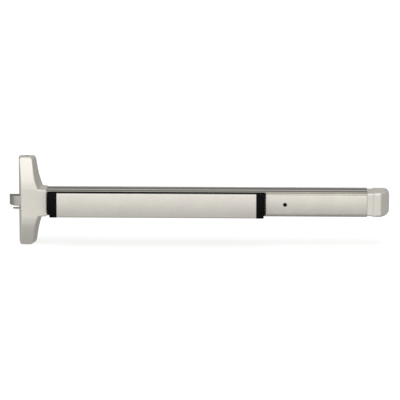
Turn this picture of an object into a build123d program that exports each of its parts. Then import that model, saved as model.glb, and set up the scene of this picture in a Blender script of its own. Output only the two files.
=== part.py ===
from build123d import *
import os
from math import asin, atan2, cos, degrees, radians, sin

# Panic exit bar for the room side of an outward-opening door.
#
# Frame: the door's surface is the plane Y = 0 and +Y points into the door.
# +X runs along the rail away from the latch head and +Z is up.
# The origin is the middle of the latch head's mounting holes, on the rail's centre line.
# Places are given as (x, depth, z), where depth is the distance out from the door.

# ---- Driving dimensions, millimetres ----
RAIL_START = 33.0
RAIL_END = 780.0
RAIL_HALF = 29.0
RAIL_DEPTH = 51.0
RAIL_WALL = 3.0
LIP_BACK = RAIL_DEPTH - RAIL_WALL
LIP_HALF_GAP = 24.6

HEAD_LEFT = -19.5
HEAD_HALF_HEIGHT = 102.5
HEAD_DROP = 1.0
HEAD_DEPTH = 54.0
HEAD_WALL = 2.5
HEAD_CORNER = 4.0
NECK_START = 18.0
NECK_END = 47.5
NECK_HALF = 31.0
NECK_DEPTH = 53.6
COVER_SCREW_X = 0.5
COVER_SCREW_DEPTH = 7.5
SHEET = 3.0
PLATE_FRONT = RAIL_WALL + SHEET
FLANGE_X = (-10.0, -7.0)
SPRING_WALL_X = (15.5, 18.0)
GUIDE_DEPTH = (11.0, 38.0)
GUIDE_END = 12.0
WINDOW_PLAY = 0.35

HEAD_HOLE_SPACING_X = 16.0
HEAD_HOLE_SPACING_Z = 156.0
END_HOLE_SPACING = 28.0
END_HOLE_X = 804.0
DOOR_SCREW_HOLE = 3.35

PAD_TRAVEL = 19.0
PAD_FRONT = 76.0
PAD_BACK = 70.5
PAD_HALF = 28.5
PAD_CORNER = 4.5
PAD_SKIN = 2.0
PAD_LEFT = 54.0
PAD_RIGHT = 544.0
PAD_CAP = 17.0
CARRIER_LEFT = 49.5
CARRIER_RIGHT = 547.0
CARRIER_HALF = 22.0
CARRIER_BACK = 45.0
PAD_BRACKET_BACK = 67.5
PAD_SCREW_END = 73.0
PAD_SCREW_DX = (-42.5, -23.5)
PAD_SCREW_Z = (-13.0, 13.0)

COVER_START = 549.0
COVER_FRONT = 55.5
COVER_HALF = 22.6
KEY_X = 592.5
KEY_HOLE = 4.0

CAP_START = 780.2
CAP_STEP = 792.5
CAP_END = 831.0
CAP_FRONT = 56.0
CAP_HALF = 28.6
CAP_WALL = 2.4
CAP_SCREW_DEPTH = 18.0

CRANK_PIVOTS = {"left": 131.0, "right": 451.0}
CRANK_DEPTH = 27.8
PAD_ARM = 34.0
BAR_ARM = PAD_ARM / 2
CRANK_SWING = asin(PAD_TRAVEL / 2 / PAD_ARM)
CRANK_HALF = 2.0
CRANK_PIN = 4.0
CRANK_BORE = 5.5
HUB_HALF = 10.7
EAR_GAP = 11.0
PAD_PIN = 3.0
CRANK_RIVET_DX = (-20.0, 20.0)
CRANK_RIVET_Z = (-14.0, 14.0)

BAR_TRAVEL = PAD_TRAVEL / 2
BAR_BACK = 6.6
BAR_FRONT = 16.6
BAR_LOW = 6.5
BAR_HIGH = 9.5
BAR_START = 16.0
BAR_END = 652.0
BAR_END_DEPTH = (10.5, 16.0)
BAR_RIVETS = [23.0, 638.0, 646.0]
BAR_RIVET = 1.6
BAR_RIVET_DEPTH = 13.0
BAR_RIVET_TOP = 15.0
ROD_DEPTH = 11.6
ROD_Z = 8.0
ROD = 3.0
ROD_START = 660.0
ROD_FOOT = 3.5
SPRING_BRACKET_X = 715.0
CATCH_X = KEY_X - BAR_TRAVEL / 2
CATCH_Z = 5.0
DOG_DEPTH = 24.0
DOG_SCREW = 4.0
CAM_DEPTH = (18.9, 22.4)
CAM_HALF_ANGLE = 33.0

LEVER_X = 4.5
LEVER_Z = 41.5
LEVER_TO_BAR = 20.0
LEVER_TO_BOLT = 40.0
LEVER_BACK = 6.5
LEVER_FRONT = 9.5
LEVER_SLOT = 7.0
LEVER_STUD = 3.0
LEVER_BORE = 4.5
LEVER_HALF_WIDTH = 5.0

BOLT_TIP = -40.0
BOLT_TAIL = -6.0
BOLT_BACK = 13.0
BOLT_FRONT = 37.0
BOLT_LOW = -10.2
BOLT_HIGH = 13.2
BOLT_PIN_Z = LEVER_Z - LEVER_TO_BOLT
BAR_PIN_Z = LEVER_Z - LEVER_TO_BAR
SPRING_BORE_DEPTH = 29.0
DEADLATCH_TIP = -32.0
DEADLATCH_BACK = 22.0
DEADLATCH_FRONT = 33.0
DEADLATCH_LOW = -18.8
DEADLATCH_HIGH = -15.6

PIVOT_PLAY = 0.05
SLOT_PLAY = 0.3
PIN = 2.5
RIVET = 2.0
SCREW = 2.5

os.makedirs("parts", exist_ok=True)

# ---- Sketch planes and simple solids ----
FRONT_VIEW = Plane(origin=(0, 0, 0), x_dir=(1, 0, 0), z_dir=(0, -1, 0))
END_VIEW = Plane(origin=(0, 0, 0), x_dir=(0, -1, 0), z_dir=(-1, 0, 0))
TOP_VIEW = Plane(origin=(0, 0, 0), x_dir=(1, 0, 0), z_dir=(0, 0, -1))


def outwards(sketch, d0, d1):
    """Raise an (x, z) sketch from one depth to another."""
    return extrude(FRONT_VIEW.offset(d0) * sketch, d1 - d0)


def along(sketch, x0, x1):
    """Run a (depth, z) section along the rail."""
    return extrude(END_VIEW.offset(-x0) * sketch, x0 - x1)


def upwards(sketch, z0, z1):
    """Raise an (x, depth) sketch from one height to another."""
    return extrude(TOP_VIEW.offset(-z0) * sketch, z0 - z1)


def block(x0, x1, d0, d1, z0, z1):
    middle = Pos((x0 + x1) / 2, -(d0 + d1) / 2, (z0 + z1) / 2)
    return middle * Box(x1 - x0, d1 - d0, z1 - z0)


def rod_x(depth, z, radius, x0, x1):
    return along(Pos(depth, z) * Circle(radius), x0, x1)


def rod_y(x, z, radius, d0, d1):
    return outwards(Pos(x, z) * Circle(radius), d0, d1)


def rod_z(x, depth, radius, z0, z1):
    return upwards(Pos(x, depth) * Circle(radius), z0, z1)


def area(low, high):
    """Rectangle between two corners of a sketch."""
    middle = Pos((low[0] + high[0]) / 2, (low[1] + high[1]) / 2)
    return middle * Rectangle(high[0] - low[0], high[1] - low[1])


def both_sides(low, high):
    """A rectangle above the centre line and its mirror image below."""
    return area(low, high) + area((low[0], -high[1]), (high[0], -low[1]))


def link(start, end, radius):
    """Flat bar with round ends between two centres of a sketch."""
    run_x = end[0] - start[0]
    run_y = end[1] - start[1]
    middle = Pos((start[0] + end[0]) / 2, (start[1] + end[1]) / 2)
    turn = Rot(0, 0, degrees(atan2(run_y, run_x)))
    return middle * turn * SlotCenterToCenter((run_x**2 + run_y**2) ** 0.5, 2 * radius)


def coil_spring(depth, z, radius, wire, turns, x0, x1):
    """Coil spring along X that fills the space between two seats."""
    length = x1 - x0 - wire
    path = Helix(length / turns, length, radius, (x0 + wire / 2, -depth, z), (1, 0, 0))
    profile = Plane(origin=path @ 0, z_dir=path % 0) * Circle(wire / 2)
    return sweep(profile, path, is_frenet=True)


def rivet(x, z, d0, d1, head=3.2, head_height=1.5):
    """Round-headed rivet from the rail's web, head towards the room."""
    return rod_y(x, z, RIVET, d0, d1) + rod_y(x, z, head, d1, d1 + head_height)


def keep(solid, name):
    """Write one sub-part."""
    solid.label = name
    export_step(solid, f"parts/{name}.step")


# ---- Fastener places, (x, z) ----
CHASSIS_SCREWS = [(46.0, 15.5), (46.0, -15.5)]
CRANK_RIVETS = [
    (x + dx, z) for x in CRANK_PIVOTS.values() for dx in CRANK_RIVET_DX for z in CRANK_RIVET_Z
]
SPRING_BRACKET_RIVETS = [(735.0, -8.0), (735.0, 15.0)]
DOGGING_RIVETS = [(x, z) for x in (KEY_X - 9.0, KEY_X + 9.0) for z in (-13.3, 13.3)]
END_BRACKET_SCREWS = [(762.0, 14.0), (762.0, -14.0)]
RIVETS = CRANK_RIVETS + SPRING_BRACKET_RIVETS + DOGGING_RIVETS
GUIDE_X = [215.0, 345.0, 505.0, 620.0]
GUIDE_STUD = 2.5


# ---- Rail ----
def base_channel():
    section = area((0, -RAIL_HALF), (RAIL_DEPTH, RAIL_HALF))
    inner_half = RAIL_HALF - RAIL_WALL
    section -= area((RAIL_WALL, -inner_half), (LIP_BACK, inner_half))
    section -= area((LIP_BACK, -LIP_HALF_GAP), (RAIL_DEPTH, LIP_HALF_GAP))
    section -= both_sides((30.0, RAIL_HALF - 1.2), (36.0, RAIL_HALF))
    section -= both_sides((3.0, RAIL_HALF - 0.8), (8.0, RAIL_HALF))
    rail = along(section, RAIL_START, RAIL_END)
    for x, z in RIVETS:
        rail -= rod_y(x, z, RIVET, 0, RAIL_WALL)
    for x, z in CHASSIS_SCREWS + END_BRACKET_SCREWS:
        rail -= rod_y(x, z, SCREW, 0, RAIL_WALL)
    for x in GUIDE_X:
        rail -= rod_y(x, ROD_Z, GUIDE_STUD, 0, RAIL_WALL)
    return rail


def rivets():
    return Compound(children=[rivet(x, z, 0.3, PLATE_FRONT) for x, z in RIVETS])


def web_screws(places):
    screws = []
    for x, z in places:
        shank = rod_y(x, z, SCREW, 0.3, PLATE_FRONT)
        screws.append(shank + rod_y(x, z, 4.0, PLATE_FRONT, PLATE_FRONT + 2.2))
    return Compound(children=screws)


def bar_guides():
    guides = []
    for x in GUIDE_X:
        guide = block(x - 6, x + 6, RAIL_WALL, BAR_FRONT + 2.2, BAR_LOW - 3, BAR_HIGH + 3)
        guide -= block(x - 7, x + 7, BAR_BACK - 0.3, BAR_FRONT + 0.3, BAR_LOW - 0.3, BAR_HIGH + 0.3)
        guides.append(guide + rod_y(x, ROD_Z, GUIDE_STUD, 0.3, RAIL_WALL))
    return Compound(children=guides)


# ---- Latch head ----
def bolt_windows(play):
    """Depths and heights of the openings that the two bolts pass through."""
    latch = (BOLT_BACK - play, BOLT_FRONT + play, BOLT_LOW - play, BOLT_HIGH + play)
    dead = (DEADLATCH_BACK - play, DEADLATCH_FRONT + play, DEADLATCH_LOW - play, DEADLATCH_HIGH + play)
    return [latch, dead]


# Each station of the head: height, right edge at the door, face's left edge, face's right edge, face depth
HEAD_STATIONS = [
    (33.0, 35.5, -12.0, 26.5, HEAD_DEPTH),
    (46.0, 31.0, -12.3, 22.0, 52.6),
    (60.0, 27.1, -13.1, 18.5, 48.5),
    (80.0, 23.3, -14.7, 15.1, 39.0),
    (HEAD_HALF_HEIGHT, 20.0, -16.5, 12.0, 25.0),
]


def head_section(station, wall, sign):
    """Cross-section of the head at one height, drawn in by a wall thickness."""
    height, base_right, face_left, face_right, depth = station
    if height == HEAD_HALF_HEIGHT:
        height -= wall
    outline = Polyline(
        (HEAD_LEFT + wall, 0),
        (face_left + wall, depth - wall),
        (face_right - wall, depth - wall),
        (base_right - wall, 0),
        close=True,
    )
    face = make_face(outline)
    front_corners = face.vertices().filter_by(lambda v: v.Y > 1)
    rounded = fillet(front_corners, HEAD_CORNER - wall)
    return TOP_VIEW.offset(HEAD_DROP - sign * height) * rounded


def head_solid(wall):
    """Solid of the head's body, upper and lower arms."""
    middle = head_section(HEAD_STATIONS[0], wall, -1)
    body = loft([head_section(HEAD_STATIONS[0], wall, 1), middle], ruled=True)
    for sign in (-1, 1):
        body += loft([head_section(station, wall, sign) for station in HEAD_STATIONS])
    return body


def head_cover():
    neck = area((0, -NECK_HALF), (NECK_DEPTH, NECK_HALF))
    neck = fillet(neck.vertices().filter_by(lambda v: v.X > 1), 3.0)
    neck_plan = area((NECK_START, 0), (NECK_END, NECK_DEPTH))
    neck_plan = fillet(neck_plan.vertices().filter_by(lambda v: v.X > NECK_START and v.Y > 1), 2.2)
    neck = along(neck, NECK_START, NECK_END) & upwards(neck_plan, -NECK_HALF, NECK_HALF)
    outline = area(
        (HEAD_LEFT, -HEAD_HALF_HEIGHT - HEAD_DROP),
        (NECK_END, HEAD_HALF_HEIGHT - HEAD_DROP),
    )
    outline = fillet(outline.vertices().filter_by(lambda v: v.X < 0), 5.0)
    cover = head_solid(0) + neck
    cover &= outwards(outline, 0, HEAD_DEPTH)
    cover -= head_solid(HEAD_WALL)
    cover -= block(NECK_START - SHEET, NECK_END, 0, RAIL_DEPTH + 0.3, -RAIL_HALF - 0.3, RAIL_HALF + 0.3)
    for window in bolt_windows(0.8):
        cover -= block(HEAD_LEFT, FLANGE_X[1], *window)
    for sign in (-1, 1):
        end = sign * HEAD_HALF_HEIGHT - HEAD_DROP
        cover -= rod_z(COVER_SCREW_X, COVER_SCREW_DEPTH, 2.2, end - 5, end + 5)
        seat = sorted((end, end - sign * 1.2))
        cover -= rod_z(COVER_SCREW_X, COVER_SCREW_DEPTH, 3.6, *seat)
    return cover



def head_cover_screws():
    screws = []
    for sign in (-1, 1):
        end = sign * HEAD_HALF_HEIGHT - HEAD_DROP
        head = sorted((end, end - sign * 1.2))
        shank = sorted((end - sign * 1.2, end - sign * 7.0))
        screw = rod_z(COVER_SCREW_X, COVER_SCREW_DEPTH, 3.5, *head)
        screws.append(screw + rod_z(COVER_SCREW_X, COVER_SCREW_DEPTH, 2.0, *shank))
    return Compound(children=screws)



def head_chassis():
    """Plate screwed to the door, with the walls that guide the bolts."""
    plate = block(-15.5, 14.5, 0, SHEET, -88, 88) + block(14.5, RAIL_START - 0.3, 0, SHEET, -28, 28)
    plate += block(12.5, 62.0, RAIL_WALL, PLATE_FRONT, -20, 20)
    for sign in (-1, 1):
        inner_end = sign * HEAD_HALF_HEIGHT - HEAD_DROP - sign * (HEAD_WALL + 0.3)
        tab = sorted((sign * 88, inner_end))
        upright = sorted((inner_end - sign * SHEET, inner_end))
        left, right = COVER_SCREW_X - 7.0, COVER_SCREW_X + 7.0
        plate += block(left, right, 0, SHEET, *tab) + block(left, right, 0, 12.5, *upright)
        plate -= rod_z(COVER_SCREW_X, COVER_SCREW_DEPTH, 2.0, *upright)
    flange = block(*FLANGE_X, SHEET, 39.5, DEADLATCH_LOW - 7, BOLT_HIGH + 7)
    for window in bolt_windows(WINDOW_PLAY):
        flange -= block(*FLANGE_X, *window)
    flange -= block(*FLANGE_X, LEVER_BACK - 0.7, BOLT_BACK, BOLT_PIN_Z - 7, BOLT_HIGH + 3.5)
    low_guide_top = DEADLATCH_LOW - WINDOW_PLAY
    low_guide_foot = DEADLATCH_LOW - SHEET
    chassis = plate + flange
    chassis += block(FLANGE_X[0], GUIDE_END, *GUIDE_DEPTH, BOLT_HIGH + WINDOW_PLAY, BOLT_HIGH + SHEET)
    middle_guide = (DEADLATCH_HIGH + WINDOW_PLAY, BOLT_LOW - WINDOW_PLAY)
    chassis += block(FLANGE_X[0], GUIDE_END, *GUIDE_DEPTH, *middle_guide)
    chassis += block(FLANGE_X[0], SPRING_WALL_X[1], *GUIDE_DEPTH, low_guide_foot, low_guide_top)
    chassis += block(*SPRING_WALL_X, 24, 35, low_guide_foot, BOLT_PIN_Z + 6)
    for x in (-HEAD_HOLE_SPACING_X / 2, HEAD_HOLE_SPACING_X / 2):
        for z in (-HEAD_HOLE_SPACING_Z / 2, HEAD_HOLE_SPACING_Z / 2):
            chassis -= rod_y(x, z, DOOR_SCREW_HOLE, 0, SHEET)
    for x, z in CHASSIS_SCREWS:
        chassis -= rod_y(x, z, SCREW, RAIL_WALL, PLATE_FRONT)
    return chassis - rod_y(LEVER_X, LEVER_Z, LEVER_STUD, 0, SHEET)


def lever_stud():
    stud = rod_y(LEVER_X, LEVER_Z, LEVER_STUD, 0.3, 12.0)
    return stud + rod_y(LEVER_X, LEVER_Z, 2 * LEVER_STUD, SHEET, LEVER_BACK - 0.2)


def ring_y(x, z, inner, outer, d0, d1):
    return rod_y(x, z, outer, d0, d1) - rod_y(x, z, inner, d0, d1)


def ring_z(x, depth, inner, outer, z0, z1):
    return rod_z(x, depth, outer, z0, z1) - rod_z(x, depth, inner, z0, z1)


def bolt_outline(tip, curve_start, door_side, front, tip_front):
    """Side outline of a bolt: flat towards the door, curved from the front to the tip."""
    edge = Line((tip, tip_front), (tip, door_side))
    edge += Polyline((tip, door_side), (BOLT_TAIL, door_side), (BOLT_TAIL, front), (curve_start, front))
    edge += RadiusArc((curve_start, front), (tip, tip_front), -34.0)
    return make_face(edge)


def latchbolt():
    bolt = upwards(bolt_outline(BOLT_TIP, -17.5, BOLT_BACK, BOLT_FRONT, 17.5), BOLT_LOW, BOLT_HIGH)
    bolt += block(BOLT_TAIL, 0.0, BOLT_BACK, 22.0, BOLT_PIN_Z - 8, BOLT_PIN_Z + 8)
    bolt -= rod_x(SPRING_BORE_DEPTH, BOLT_PIN_Z, 5.5, -30.0, BOLT_TAIL)
    return bolt - rod_y(LEVER_X - BAR_TRAVEL, BOLT_PIN_Z, PIN, BOLT_BACK, 20.0)


def deadlatch():
    outline = bolt_outline(DEADLATCH_TIP, -18.0, DEADLATCH_BACK, DEADLATCH_FRONT, 25.0)
    return upwards(outline, DEADLATCH_LOW, DEADLATCH_HIGH)


def retractor_lever():
    """Lever that hangs in the head, at its rest lean."""
    lean = atan2(BAR_TRAVEL, LEVER_TO_BOLT)
    bar_reach = (LEVER_TO_BAR / cos(lean) + LEVER_TO_BAR) / 2
    bolt_reach = (LEVER_TO_BOLT / cos(lean) + LEVER_TO_BOLT) / 2
    foot = (LEVER_X - bolt_reach * sin(lean), LEVER_Z - bolt_reach * cos(lean))
    lever = outwards(link((LEVER_X, LEVER_Z), foot, LEVER_HALF_WIDTH), LEVER_BACK, LEVER_FRONT)
    lever += rod_y(LEVER_X, LEVER_Z, 8.0, LEVER_BACK, LEVER_FRONT)
    for reach in (bar_reach, bolt_reach):
        x = LEVER_X - reach * sin(lean)
        z = LEVER_Z - reach * cos(lean)
        slot = Pos(x, z) * Rot(0, 0, 90 - degrees(lean)) * SlotOverall(LEVER_SLOT, 2 * PIN + SLOT_PLAY)
        lever -= outwards(slot, LEVER_BACK, LEVER_FRONT)
    return lever - rod_y(LEVER_X, LEVER_Z, LEVER_BORE, LEVER_BACK, LEVER_FRONT)


# ---- Bell cranks and their brackets ----
def crank_bracket(x):
    bracket = block(x - 25, x + 25, RAIL_WALL, PLATE_FRONT, -19, 19)
    for side in (-1, 1):
        ear = area((x - 12, SHEET), (x + 12, CRANK_DEPTH)) + Pos(x, CRANK_DEPTH) * Circle(12)
        bracket += upwards(ear, *sorted((side * EAR_GAP, side * (EAR_GAP + SHEET))))
    bracket -= rod_z(x, CRANK_DEPTH, CRANK_PIN, -EAR_GAP - SHEET, EAR_GAP + SHEET)
    for dx in CRANK_RIVET_DX:
        for z in CRANK_RIVET_Z:
            bracket -= rod_y(x + dx, z, RIVET, RAIL_WALL, PLATE_FRONT)
    return bracket


def crank_pin(x):
    pin = rod_z(x, CRANK_DEPTH, CRANK_PIN, -EAR_GAP - 4.5, EAR_GAP + SHEET)
    return pin + rod_z(x, CRANK_DEPTH, 6.5, EAR_GAP + SHEET, EAR_GAP + 4.5)


def crank_ends(x):
    """Places of the pad pin and the bar pin at rest, as (x, depth)."""
    pad_pin = (x - PAD_ARM * cos(CRANK_SWING), CRANK_DEPTH + PAD_ARM * sin(CRANK_SWING))
    bar_pin = (x - BAR_ARM * sin(CRANK_SWING), CRANK_DEPTH - BAR_ARM * cos(CRANK_SWING))
    return pad_pin, bar_pin


def bell_crank(x):
    pad_pin, bar_pin = crank_ends(x)
    pivot = (x, CRANK_DEPTH)
    plate = link(pivot, pad_pin, 6.0) + link(pivot, bar_pin, 4.5)
    crank = upwards(plate, -CRANK_HALF, CRANK_HALF) + rod_z(*pivot, 8.0, -HUB_HALF, HUB_HALF)
    crank -= rod_z(*pivot, CRANK_BORE, -HUB_HALF, HUB_HALF)
    crank -= rod_z(*pad_pin, PAD_PIN, -CRANK_HALF, CRANK_HALF)
    return crank - rod_z(*bar_pin, PIN, -CRANK_HALF, CRANK_HALF)


def crank_link_pins(x):
    pad_pin, bar_pin = crank_ends(x)
    pins = [rod_z(*pad_pin, PAD_PIN, -5.7, 5.7), rod_z(*bar_pin, PIN, -CRANK_HALF, 10.2)]
    return Compound(children=pins)


def crank_bush(x):
    return ring_z(x, CRANK_DEPTH, CRANK_PIN + PIVOT_PLAY, CRANK_BORE, -HUB_HALF, HUB_HALF)


def travel_bumpers():
    """Rubber stops that the pad's brackets meet at the end of the travel."""
    places = CRANK_PIVOTS.values()
    return Compound(children=[block(x - 40, x - 27, RAIL_WALL, 12.0, -9.0, -2.6) for x in places])


# ---- Draw bar ----
def draw_bar():
    bar = block(BAR_START, BAR_END, BAR_BACK, BAR_FRONT, BAR_LOW, BAR_HIGH)
    slot_depth = CRANK_DEPTH - BAR_ARM * (1 + cos(CRANK_SWING)) / 2
    for x in CRANK_PIVOTS.values():
        bar_pin = crank_ends(x)[1]
        slot = Pos(bar_pin[0], slot_depth) * Rot(0, 0, 90) * SlotOverall(6.4, 2 * PIN + SLOT_PLAY)
        bar -= upwards(slot, BAR_LOW, BAR_HIGH)
    for x in BAR_RIVETS:
        bar -= rod_z(x, BAR_RIVET_DEPTH, BAR_RIVET, BAR_LOW, BAR_HIGH)
    return bar


def draw_bar_end():
    """Plate that steps up over the bolt's guide to the lever's upper slot."""
    pin_x = LEVER_X - BAR_TRAVEL / 2
    end = block(BAR_START, 30, *BAR_END_DEPTH, BAR_HIGH, BAR_PIN_Z)
    end += block(pin_x, 22, *BAR_END_DEPTH, BAR_PIN_Z - 4.5, BAR_PIN_Z + 4.5)
    end += rod_y(pin_x, BAR_PIN_Z, 4.5, *BAR_END_DEPTH)
    end -= rod_z(BAR_RIVETS[0], BAR_RIVET_DEPTH, BAR_RIVET, BAR_HIGH, BAR_RIVET_TOP)
    return end - rod_y(pin_x, BAR_PIN_Z, PIN, *BAR_END_DEPTH)


def bar_rivets():
    """Rivets that join the bar's ends; the first one's head is below, the others' above."""
    first = rod_z(BAR_RIVETS[0], BAR_RIVET_DEPTH, BAR_RIVET, BAR_LOW, BAR_RIVET_TOP)
    rivets = [first + rod_z(BAR_RIVETS[0], BAR_RIVET_DEPTH, 2.8, BAR_LOW - 0.9, BAR_LOW)]
    for x in BAR_RIVETS[1:]:
        shank = rod_z(x, BAR_RIVET_DEPTH, BAR_RIVET, ROD_FOOT, BAR_HIGH)
        rivets.append(shank + rod_z(x, BAR_RIVET_DEPTH, 2.8, BAR_HIGH, BAR_HIGH + 0.9))
    return Compound(children=rivets)


def spring_rod():
    rod = block(630, BAR_END, 9.5, 16, ROD_FOOT, BAR_LOW)
    rod += block(BAR_END, ROD_START, 7.5, 16, ROD_FOOT, BAR_HIGH + 3)
    rod += rod_x(ROD_DEPTH, ROD_Z, ROD, ROD_START, 745)
    for x in BAR_RIVETS[1:]:
        rod -= rod_z(x, BAR_RIVET_DEPTH, BAR_RIVET, ROD_FOOT, BAR_LOW)
    return rod


def spring_bracket():
    wall_front = SPRING_BRACKET_X + SHEET
    bracket = block(SPRING_BRACKET_X, wall_front, RAIL_WALL, 22, -13, 20)
    bracket += block(wall_front, 744, RAIL_WALL, PLATE_FRONT, -13, 20)
    bracket -= rod_x(ROD_DEPTH, ROD_Z, ROD + PIVOT_PLAY, SPRING_BRACKET_X, wall_front)
    for x, z in SPRING_BRACKET_RIVETS:
        bracket -= rod_y(x, z, RIVET, RAIL_WALL, PLATE_FRONT)
    return bracket


# ---- Dogging: a key turns the cam so that the bar stays pulled ----
def dogging_bracket():
    front = DOG_DEPTH + SHEET
    section = area((RAIL_WALL, -20), (front, 20)) - area((PLATE_FRONT, -17), (DOG_DEPTH, 17))
    bracket = along(section, KEY_X - 14.5, KEY_X + 14.5)
    bracket -= rod_y(KEY_X, 0, DOG_SCREW + PIVOT_PLAY, DOG_DEPTH, front)
    for x, z in DOGGING_RIVETS:
        bracket -= rod_y(x, z, RIVET, RAIL_WALL, PLATE_FRONT)
    return bracket


def dogging_screw():
    screw = rod_y(KEY_X, 0, DOG_SCREW, CAM_DEPTH[1], 41) + rod_y(KEY_X, 0, 6.0, 41, 48)
    socket = Pos(KEY_X, 0) * RegularPolygon(2.0, 6, major_radius=False)
    return screw - outwards(socket, 43, 48)


def dogging_cam():
    """Sector that points away from the bar's catch until the key is turned."""
    corners = []
    for angle in (radians(180 - CAM_HALF_ANGLE), radians(180 + CAM_HALF_ANGLE)):
        corners.append((KEY_X + 6.5 * cos(angle), 6.5 * sin(angle)))
    wedge = make_face(Polyline((KEY_X, 0), corners[0], (KEY_X - 7, 0), corners[1], close=True))
    sector = Pos(KEY_X, 0) * Circle(4.7) & wedge
    return outwards(sector + Pos(KEY_X, 0) * Circle(2.6), *CAM_DEPTH)


def dog_catch():
    plate = block(CATCH_X - 7, CATCH_X + 7, BAR_FRONT, 18.2, 2.8, BAR_HIGH)
    return plate + rod_y(CATCH_X, CATCH_Z, 2.0, 18.2, 22.0)


# ---- Push pad ----
def pad_outline(half, back, front, corner):
    outline = area((back, -half), (front, half))
    return fillet(outline.vertices().filter_by(lambda v: v.X > (back + front) / 2), corner)


def carrier_web():
    return pad_outline(PAD_HALF - PAD_SKIN, PAD_BACK, PAD_FRONT - PAD_SKIN, PAD_CORNER - PAD_SKIN)


def push_pad_skin():
    section = pad_outline(PAD_HALF, PAD_BACK, PAD_FRONT, PAD_CORNER) - carrier_web()
    return along(section, PAD_LEFT + PAD_CAP, PAD_RIGHT - PAD_CAP)


def pad_carrier():
    """Channel that slides in the rail and is held behind its lips by two feet."""
    narrow = area((CARRIER_BACK, -CARRIER_HALF), (PAD_FRONT - PAD_SKIN, CARRIER_HALF))
    narrow += both_sides((CARRIER_BACK, CARRIER_HALF), (LIP_BACK - 0.3, LIP_HALF_GAP + 1.0))
    narrow -= area((CARRIER_BACK, SHEET - CARRIER_HALF), (PAD_BACK, CARRIER_HALF - SHEET))
    carrier = along(narrow, CARRIER_LEFT, CARRIER_RIGHT)
    carrier += along(carrier_web(), PAD_LEFT + 3, PAD_RIGHT - 3)
    for x, z in pad_screw_places():
        carrier -= rod_y(x, z, RIVET, PAD_BACK, PAD_SCREW_END)
    return carrier


def pad_end_cap(x0, x1):
    cap = along(pad_outline(PAD_HALF + 0.4, PAD_BACK, PAD_FRONT + 0.4, PAD_CORNER), x0, x1)
    outer = cap.faces().sort_by(Axis.X)[0 if x0 < 100 else -1]
    cap = fillet(outer.edges().filter_by(lambda e: e.center().Y < -PAD_BACK - 0.5), 2.0)
    neck = area((CARRIER_BACK, -CARRIER_HALF), (PAD_FRONT - PAD_SKIN, CARRIER_HALF))
    cap -= along(neck, x0 - 1, x1 + 1)
    return cap - along(carrier_web(), PAD_LEFT + 3, PAD_RIGHT - 3)


def pad_screw_places():
    return [(x + dx, z) for x in CRANK_PIVOTS.values() for dx in PAD_SCREW_DX for z in PAD_SCREW_Z]


def pad_bracket(x):
    """Fork that carries the crank's pad pin in two slots."""
    bracket = block(x - 47, x - 19, PAD_BRACKET_BACK, PAD_BACK, -17, 17)
    slot_x = x - PAD_ARM * (1 + cos(CRANK_SWING)) / 2
    slot = Pos(slot_x, crank_ends(x)[0][1]) * SlotOverall(8.0, 2 * PAD_PIN + SLOT_PLAY)
    for side in (-1, 1):
        ear = area((x - 41, 31.5), (x - 25, PAD_BRACKET_BACK)) - slot
        bracket += upwards(ear, *sorted((side * 2.5, side * 5.5)))
    for dx in PAD_SCREW_DX:
        for z in PAD_SCREW_Z:
            bracket -= rod_y(x + dx, z, RIVET, PAD_BRACKET_BACK, PAD_BACK)
    return bracket


def pad_bracket_screws():
    screws = []
    for x, z in pad_screw_places():
        shank = rod_y(x, z, RIVET, PAD_BRACKET_BACK, PAD_SCREW_END)
        screws.append(shank + rod_y(x, z, 3.4, PAD_BRACKET_BACK - 2, PAD_BRACKET_BACK))
    return Compound(children=screws)


# ---- Rail cover and end ----
def rail_cover():
    """Strip between the rail's lips, held behind them by two hooked legs."""
    section = pad_outline(COVER_HALF, RAIL_DEPTH + 0.2, COVER_FRONT, 2.5)
    section += both_sides((42, COVER_HALF - 2.4), (RAIL_DEPTH + 0.2, COVER_HALF))
    section += both_sides((45.5, COVER_HALF), (LIP_BACK - 0.3, LIP_HALF_GAP + 0.9))
    cover = along(section, COVER_START, RAIL_END - 0.2)
    return cover - rod_y(KEY_X, 0, KEY_HOLE, RAIL_DEPTH, COVER_FRONT + 1)


def end_bracket():
    tab_high = -20.0
    tab_low = CAP_WALL + 0.6 - CAP_HALF
    bracket = block(748, RAIL_END, RAIL_WALL, PLATE_FRONT, -20, 20)
    bracket += block(RAIL_END, 822, 0, PLATE_FRONT, -20, 20)
    bracket += block(END_HOLE_X - 7, END_HOLE_X + 7, 0, 26, tab_low, tab_high)
    bracket -= rod_z(END_HOLE_X, CAP_SCREW_DEPTH, 2.0, tab_low, tab_high)
    for z in (-END_HOLE_SPACING / 2, END_HOLE_SPACING / 2):
        bracket -= rod_y(END_HOLE_X, z, DOOR_SCREW_HOLE, 0, PLATE_FRONT)
    for x, z in END_BRACKET_SCREWS:
        bracket -= rod_y(x, z, SCREW, RAIL_WALL, PLATE_FRONT)
    return bracket


def end_cap_solid(wall):
    """Outer shape of the end cap, drawn in by a wall thickness."""
    half = CAP_HALF - wall
    end = CAP_END - wall
    front = CAP_FRONT - wall
    plan = area((CAP_STEP - 1, -half), (end, half))
    plan = fillet(plan.vertices().filter_by(lambda v: v.X > CAP_STEP), 13.0 - wall)
    side = Polyline((CAP_STEP, 0), (end, 0), (end, 26), (811 - wall, front), (CAP_STEP, front), close=True)
    side = make_face(side)
    side = fillet(side.vertices().filter_by(lambda v: v.Y > 1 and v.X > CAP_STEP), 7.0 - wall)
    body = outwards(plan, 0, front) & upwards(side, -half, half)
    body &= along(pad_outline(half, 0, front, 6.0 - wall), CAP_STEP - 1, end)
    collar = pad_outline(half - 1.8, 0, front - 2.0, 4.0 - wall)
    return body + along(collar, CAP_START, CAP_STEP + 1)


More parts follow.
